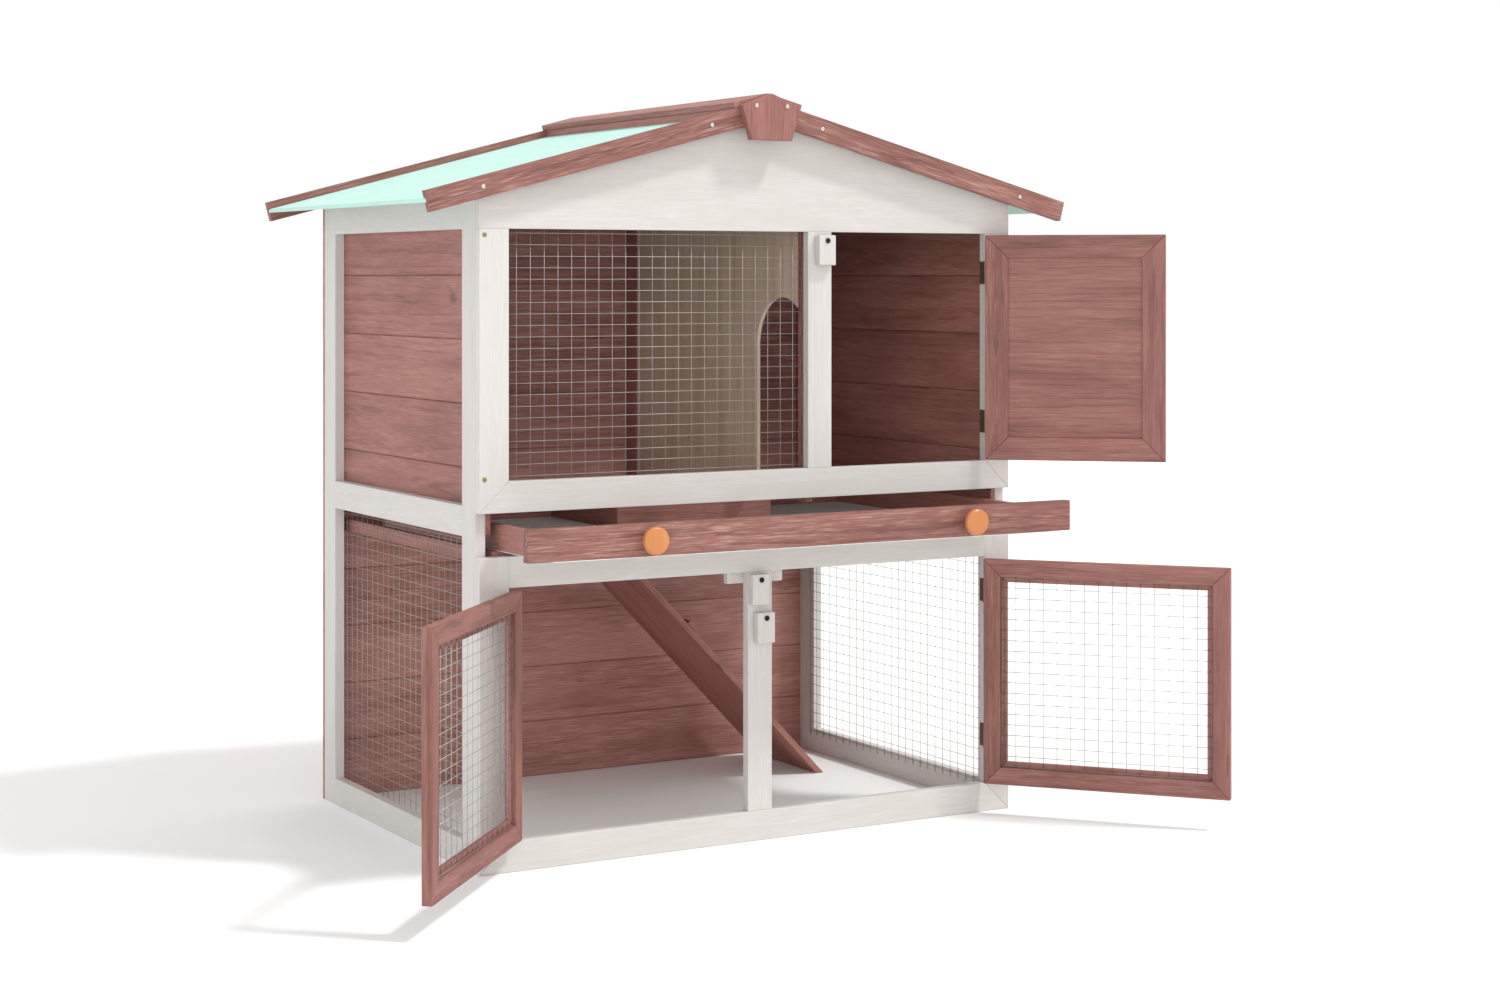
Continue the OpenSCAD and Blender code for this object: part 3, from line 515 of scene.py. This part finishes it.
def rod(bm, start, end, radius, sides):
    """A closed round rod from start to end."""
    run = (end - start).normalized()
    side = run.orthogonal().normalized()
    up = run.cross(side)
    rings = []
    for centre in (start, end):
        rings.append([bm.verts.new(centre + radius * (math.cos(a) * side + math.sin(a) * up))
                      for a in (2 * math.pi * k / sides for k in range(sides))])
    first, last = rings
    for k in range(sides):
        n = (k + 1) % sides
        bm.faces.new((first[k], first[n], last[n], last[k]))
    bm.faces.new(first[::-1])
    bm.faces.new(last)


def turned_ring(bm, place, radius, height, sides):
    """A ring of new vertices round the place's own axis."""
    return [bm.verts.new(place @ Vector((radius * math.cos(a), radius * math.sin(a), height)))
            for a in (2 * math.pi * k / sides for k in range(sides))]


def lathe(bm, profile, place, sides):
    """A closed turned shape: profile is radius and height from its foot on the axis to its tip."""
    rings = []
    for radius, height in profile:
        if radius == 0:
            rings.append([bm.verts.new(place @ Vector((0, 0, height)))])
        else:
            rings.append(turned_ring(bm, place, radius, height, sides))
    for low, high in zip(rings, rings[1:]):
        for k in range(sides):
            n = (k + 1) % sides
            corners = [low[k % len(low)], low[n % len(low)], high[n % len(high)], high[k % len(high)]]
            bm.faces.new(list(dict.fromkeys(corners)))


# ---- Operators ----

WHITE_TIMBERS = [node for node, slot in SLOT_OF.items()
                 if slot == "white_paint" and "button" not in node]


class HUTCH_OT_painted_frames(bpy.types.Operator):
    """White front frames, side frames, gable board and door stop"""
    bl_idname = "hutch.painted_frames"
    bl_label = "Painted Frames"

    def execute(self, context):
        for node in WHITE_TIMBERS:
            timber(node, "painted_spruce", context.scene.hutch_sizes.eased_edge)
        return {"FINISHED"}


class HUTCH_OT_cladding(bpy.types.Operator):
    """Boards of the sides and the back, the inner wall and the tray's bearers"""
    bl_idname = "hutch.cladding"
    bl_label = "Cladding"

    def execute(self, context):
        sizes = context.scene.hutch_sizes
        for node in ("left_side_boards", "right_side_boards"):
            timber(node, "stained_fir", sizes.board_edge)
        # The back wall takes the paler copy of the stain, painted light for the dim inside.
        timber("back_boards", "thin_stained_fir", sizes.board_edge)
        for node in ("divider_battens", "tray_bearers"):
            timber(node, "stained_fir", sizes.eased_edge)
        timber("divider_panel", "bare_plywood", sizes.board_edge, along=Vector((0, 0, 1)))
        return {"FINISHED"}


LEVEL_WIRE_LIFT = 0.35    # from the upright wires' plane to the level ones', in wire widths
ROUNDING = 1e-4           # keeps a last wire that fits exactly


class HUTCH_OT_wire_meshes(bpy.types.Operator):
    """Welded wire in the window, the sides and the lower doors"""
    bl_idname = "hutch.wire_meshes"
    bl_label = "Wire Meshes"

    def execute(self, context):
        for node in (n for n, slot in SLOT_OF.items() if slot == "wire"):
            self.weld(node, context.scene.hutch_sizes)
        return {"FINISHED"}

    def weld(self, node, sizes):
        """Upright wires with level wires pressed a little into them."""
        swing = door_swing(BODY_OF[node])
        back = swing.inverted()
        low, high = span([back @ v.co for v in frame["nodes"][node].data.vertices])
        thin = 0 if high.x - low.x < high.y - low.y else 1
        wide = 1 - thin
        radius = sizes.wire_width / 2
        # The level wires lie against the upright ones, pressed a little into them.
        lift = LEVEL_WIRE_LIFT * sizes.wire_width
        bm = bmesh.new()
        spacing = {wide: sizes.wire_step, 2: sizes.wire_rise}
        for axis, other, depth in ((wide, 2, radius), (2, wide, radius + lift)):
            size = high[axis] - low[axis]
            steps = int((size - sizes.wire_width) / spacing[axis] + ROUNDING)
            first = low[axis] + (size - steps * spacing[axis]) / 2
            for k in range(steps + 1):
                start = Vector()
                start[axis] = first + k * spacing[axis]
                start[thin] = low[thin] + depth
                end = start.copy()
                start[other], end[other] = low[other], high[other]
                rod(bm, swing @ start, swing @ end, radius, sizes.rod_sides)
        new_piece(node, "_wires", bm, "galvanised_wire", smooth=True)


class HUTCH_OT_doors(bpy.types.Operator):
    """Mitred door frames and the upper door's panel"""
    bl_idname = "hutch.doors"
    bl_label = "Doors"

    def execute(self, context):
        sizes = context.scene.hutch_sizes
        for node in ("upper_door_frame", "lower_left_door_frame", "lower_right_door_frame"):
            timber(node, "planed_fir", sizes.eased_edge)
        swing = door_swing("upper_door").to_3x3()
        timber("upper_door_panel", "planed_fir", sizes.board_edge, along=swing @ Vector((1, 0, 0)))
        return {"FINISHED"}


class HUTCH_OT_hinges(bpy.types.Operator):
    """Bronzed butt hinges and their pins"""
    bl_idname = "hutch.hinges"
    bl_label = "Hinges"

    def execute(self, context):
        for node in (n for n, slot in SLOT_OF.items() if slot == "hinge_steel"):
            for holder in frame["nodes"][node].material_slots:
                holder.material = finish("bronzed_steel")
        return {"FINISHED"}


class HUTCH_OT_roof(bpy.types.Operator):
    """Felted panels, barge boards, ridge caps and apex plates"""
    bl_idname = "hutch.roof"
    bl_label = "Roof"

    def execute(self, context):
        sizes = context.scene.hutch_sizes
        for node in ("left_roof_panel", "right_roof_panel"):
            bm = cad_mesh(node)
            ease_edges(bm, sizes.eased_edge)
            new_piece(node, "_felt", bm, "mineral_felt")
        for node in ("front_barge_boards", "back_barge_boards"):
            timber(node, "rubbed_fir", sizes.eased_edge)
        timber("ridge_caps", "stained_fir", sizes.eased_edge)
        timber("apex_plates", "planed_fir", sizes.eased_edge, along=Vector((0, 0, 1)))
        return {"FINISHED"}


KNOB_SIDES = 64
# The waist's radius as a share of the neck's, and how far up the neck it lies.
KNOB_WAIST = (0.82, 0.6)
HEAD_PER_RIM = 2.6         # the head's thickness, in radii of its rounded rim
HEAD_DOME = 0.8 * MM
# Where the dome bends: out by a share of its radius, and down by a share of its rise.
DOME_SHOULDER = (0.6, 0.3)
RIM_STEP = 15              # degrees between the rim's points


class HUTCH_OT_tray(bpy.types.Operator):
    """Pull-out tray with its galvanised sheet and turned knobs"""
    bl_idname = "hutch.tray"
    bl_label = "Tray"

    def execute(self, context):
        sizes = context.scene.hutch_sizes
        timber("tray_front", "rubbed_fir", sizes.eased_edge)
        timber("tray_sides", "stained_fir", sizes.eased_edge)
        timber("tray_notch_walls", "stained_fir", sizes.eased_edge)
        for holder in frame["nodes"]["tray_sheet"].material_slots:
            holder.material = finish("spangled_zinc")
        self.knobs("tray_knobs", sizes)
        return {"FINISHED"}

    def knobs(self, node, sizes):
        """Turned knobs with a waisted neck and a rounded, slightly domed head."""
        bm = bmesh.new()
        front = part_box("tray_front")[0].y
        neck, head = sizes.knob_neck, sizes.knob_head
        rim = head / HEAD_PER_RIM
        for low, high in part_boxes(node):
            radius = (high.x - low.x) / 2
            height = front - low.y
            under = height - head
            waist = (neck * KNOB_WAIST[0], under * KNOB_WAIST[1])
            profile = [(0, 0), (neck, 0), waist, (neck, under)]
            # The rim's lower quarter circle, then its upper one.
            for centre_height, turns in ((under + rim, range(-90, 1, RIM_STEP)),
                                         (height - HEAD_DOME - rim, range(0, 91, RIM_STEP))):
                profile += [(radius - rim + rim * math.cos(math.radians(a)),
                             centre_height + rim * math.sin(math.radians(a))) for a in turns]
            profile += [((radius - rim) * DOME_SHOULDER[0], height - HEAD_DOME * DOME_SHOULDER[1]),
                        (0, height)]
            centre = Vector(((low.x + high.x) / 2, front, (low.z + high.z) / 2))
            place = Matrix.Translation(centre) @ Matrix.Rotation(math.radians(90), 4, "X")
            lathe(bm, profile, place, KNOB_SIDES)
        set_grain(bm, node, along=Vector((1, 0, 0)))
        new_piece(node, "_turned", bm, "varnished_beech", smooth=True)


class HUTCH_OT_ramp(bpy.types.Operator):
    """Ramp board and its cleats"""
    bl_idname = "hutch.ramp"
    bl_label = "Ramp"

    def execute(self, context):
        for node in ("ramp_board", "ramp_cleats"):
            timber(node, "stained_fir", context.scene.hutch_sizes.eased_edge)
        return {"FINISHED"}


class HUTCH_OT_turn_buttons(bpy.types.Operator):
    """White turn buttons that hold the doors shut"""
    bl_idname = "hutch.turn_buttons"
    bl_label = "Turn Buttons"

    def execute(self, context):
        for node in (n for n in SLOT_OF if n.endswith("turn_button")):
            timber(node, "painted_spruce", context.scene.hutch_sizes.button_edge)
        return {"FINISHED"}


# A screw's sizes in radii of its head.
SCREW_DOME = 0.42
SCREW_SHANK = 0.45
CROSS_ARM = 0.13
CROSS_REACH = 0.58
CROSS_FLOOR = 0.35         # height of the cross recess's floor, as a share of the dome above it
SCREW_SIDES = 48
SCREW_RINGS = 12


class HUTCH_OT_screws(bpy.types.Operator):
    """Domed screws with a cross recess"""
    bl_idname = "hutch.screws"
    bl_label = "Screws"

    def execute(self, context):
        for node, material in (("roof_screws", "bright_zinc"), ("frame_screws", "yellow_zinc"),
                               ("turn_button_screws", "black_phosphate")):
            bm = bmesh.new()
            for low, high in part_boxes(node):
                self.screw(bm, low, high)
            new_piece(node, "_crossed", bm, material, smooth=True)
        return {"FINISHED"}

    def screw(self, bm, low, high):
        """One screw that fills its box; its head looks away from the hutch's middle."""
        middle = (cad_bounds[0].y + cad_bounds[1].y) / 2
        facing = -1 if low.y < middle else 1
        tip, end = (low.y, high.y) if facing < 0 else (high.y, low.y)
        radius = (high.x - low.x) / 2
        seat = tip - facing * radius * SCREW_DOME
        centre = Vector(((low.x + high.x) / 2, seat, (low.z + high.z) / 2))
        place = Matrix.Translation(centre) @ Matrix.Rotation(math.radians(-90 * facing), 4, "X")
        head = []
        for i in range(SCREW_RINGS, 0, -1):
            r = radius * i / SCREW_RINGS
            points = [(r * math.cos(a), r * math.sin(a))
                      for a in (2 * math.pi * k / SCREW_SIDES for k in range(SCREW_SIDES))]
            head.append([bm.verts.new(place @ Vector((x, y, self.height(x, y, radius))))
                         for x, y in points])
        under, foot = (turned_ring(bm, place, radius * SCREW_SHANK, height, SCREW_SIDES)
                       for height in (0, -abs(end - seat)))
        chain = [foot, under] + head
        for first, second in zip(chain, chain[1:]):
            for k in range(SCREW_SIDES):
                n = (k + 1) % SCREW_SIDES
                bm.faces.new((first[k], first[n], second[n], second[k]))
        top = bm.verts.new(place @ Vector((0, 0, self.height(0, 0, radius))))
        for k in range(SCREW_SIDES):
            bm.faces.new((head[-1][k], head[-1][(k + 1) % SCREW_SIDES], top))
        bm.faces.new(foot[::-1])

    def height(self, x, y, radius):
        """Height of the domed head with a cross sunk into it."""
        dome = radius * SCREW_DOME * math.sqrt(max(0.0, 1 - (x * x + y * y) / (radius * radius)))
        inside = (min(abs(x), abs(y)) < CROSS_ARM * radius
                  and max(abs(x), abs(y)) < CROSS_REACH * radius)
        return dome * CROSS_FLOOR if inside else dome


FLOOR_SIZE = 30            # metres from its middle to its edge
FLOOR_GAP = 0.2 * MM       # keeps the floor clear of the posts' feet


class HUTCH_OT_stage(bpy.types.Operator):
    """Pale floor, soft lights and camera"""
    bl_idname = "hutch.stage"
    bl_label = "Stage"

    def execute(self, context):
        scene = context.scene
        stage = scene.hutch_stage
        self.floor(scene)
        key = self.lamp(scene, "key_light", "SUN", Vector(stage.key_from), stage.key)
        key.angle = stage.key_width
        fill = self.lamp(scene, "fill_light", "AREA", Vector(stage.fill_from), stage.fill)
        fill.size = stage.fill_width
        world = bpy.data.worlds.new("studio")
        world.use_nodes = True
        sky = world.node_tree.nodes["Background"]
        sky.inputs["Color"].default_value = (1, 1, 1, 1)
        sky.inputs["Strength"].default_value = stage.sky
        scene.world = world
        scene.view_settings.view_transform = "Standard"
        camera = bpy.data.objects.new("camera", bpy.data.cameras.new("camera"))
        camera.data.lens = stage.lens
        camera.data.shift_y = stage.shift
        camera.location = stage.place
        camera.rotation_euler = (math.radians(90), 0, -stage.turn)
        scene.collection.objects.link(camera)
        scene.camera = camera
        return {"FINISHED"}

    def floor(self, scene):
        """A wide pale floor just under the object."""
        bm = bmesh.new()
        bmesh.ops.create_grid(bm, x_segments=1, y_segments=1, size=FLOOR_SIZE)
        mesh = bpy.data.meshes.new("floor")
        bm.to_mesh(mesh)
        bm.free()
        material, _, shader = new_material("pale_floor", 0.9)
        shader.inputs["Base Color"].default_value = tuple(scene.hutch_colours.floor)
        mesh.materials.append(material)
        floor = bpy.data.objects.new("floor", mesh)
        floor.location.z = cad_bounds[0].z - FLOOR_GAP
        scene.collection.objects.link(floor)

    def lamp(self, scene, name, kind, offset, power):
        """A lamp that looks at the hutch's middle from an offset."""
        lamp = bpy.data.objects.new(name, bpy.data.lights.new(name, kind))
        lamp.data.energy = power
        lamp.location = (cad_bounds[0] + cad_bounds[1]) / 2 + offset
        lamp.rotation_euler = (-offset).to_track_quat("-Z", "Y").to_euler()
        scene.collection.objects.link(lamp)
        return lamp.data


BUILD_ORDER = (HUTCH_OT_painted_frames, HUTCH_OT_cladding, HUTCH_OT_wire_meshes, HUTCH_OT_doors,
               HUTCH_OT_hinges, HUTCH_OT_roof, HUTCH_OT_tray, HUTCH_OT_ramp, HUTCH_OT_turn_buttons,
               HUTCH_OT_screws, HUTCH_OT_stage)


class HUTCH_PT_build(bpy.types.Panel):
    """Buttons for every group of pieces"""
    bl_label = "Rabbit Hutch"
    bl_idname = "HUTCH_PT_build"
    bl_space_type = "VIEW_3D"
    bl_region_type = "UI"
    bl_category = "Hutch"

    def draw(self, context):
        for operator in BUILD_ORDER:
            self.layout.operator(operator.bl_idname)


GROUPS = (HutchSizes, HutchColours, HutchStage)


def register():
    for cls in GROUPS + BUILD_ORDER + (HUTCH_PT_build,):
        bpy.utils.register_class(cls)
    bpy.types.Scene.hutch_sizes = PointerProperty(type=HutchSizes)
    bpy.types.Scene.hutch_colours = PointerProperty(type=HutchColours)
    bpy.types.Scene.hutch_stage = PointerProperty(type=HutchStage)


def unregister():
    del bpy.types.Scene.hutch_stage
    del bpy.types.Scene.hutch_colours
    del bpy.types.Scene.hutch_sizes
    for cls in reversed(GROUPS + BUILD_ORDER + (HUTCH_PT_build,)):
        bpy.utils.unregister_class(cls)


def main():
    register()
    for operator in BUILD_ORDER:
        group, name = operator.bl_idname.split(".")
        getattr(getattr(bpy.ops, group), name)()


if __name__ == "__main__":
    main()
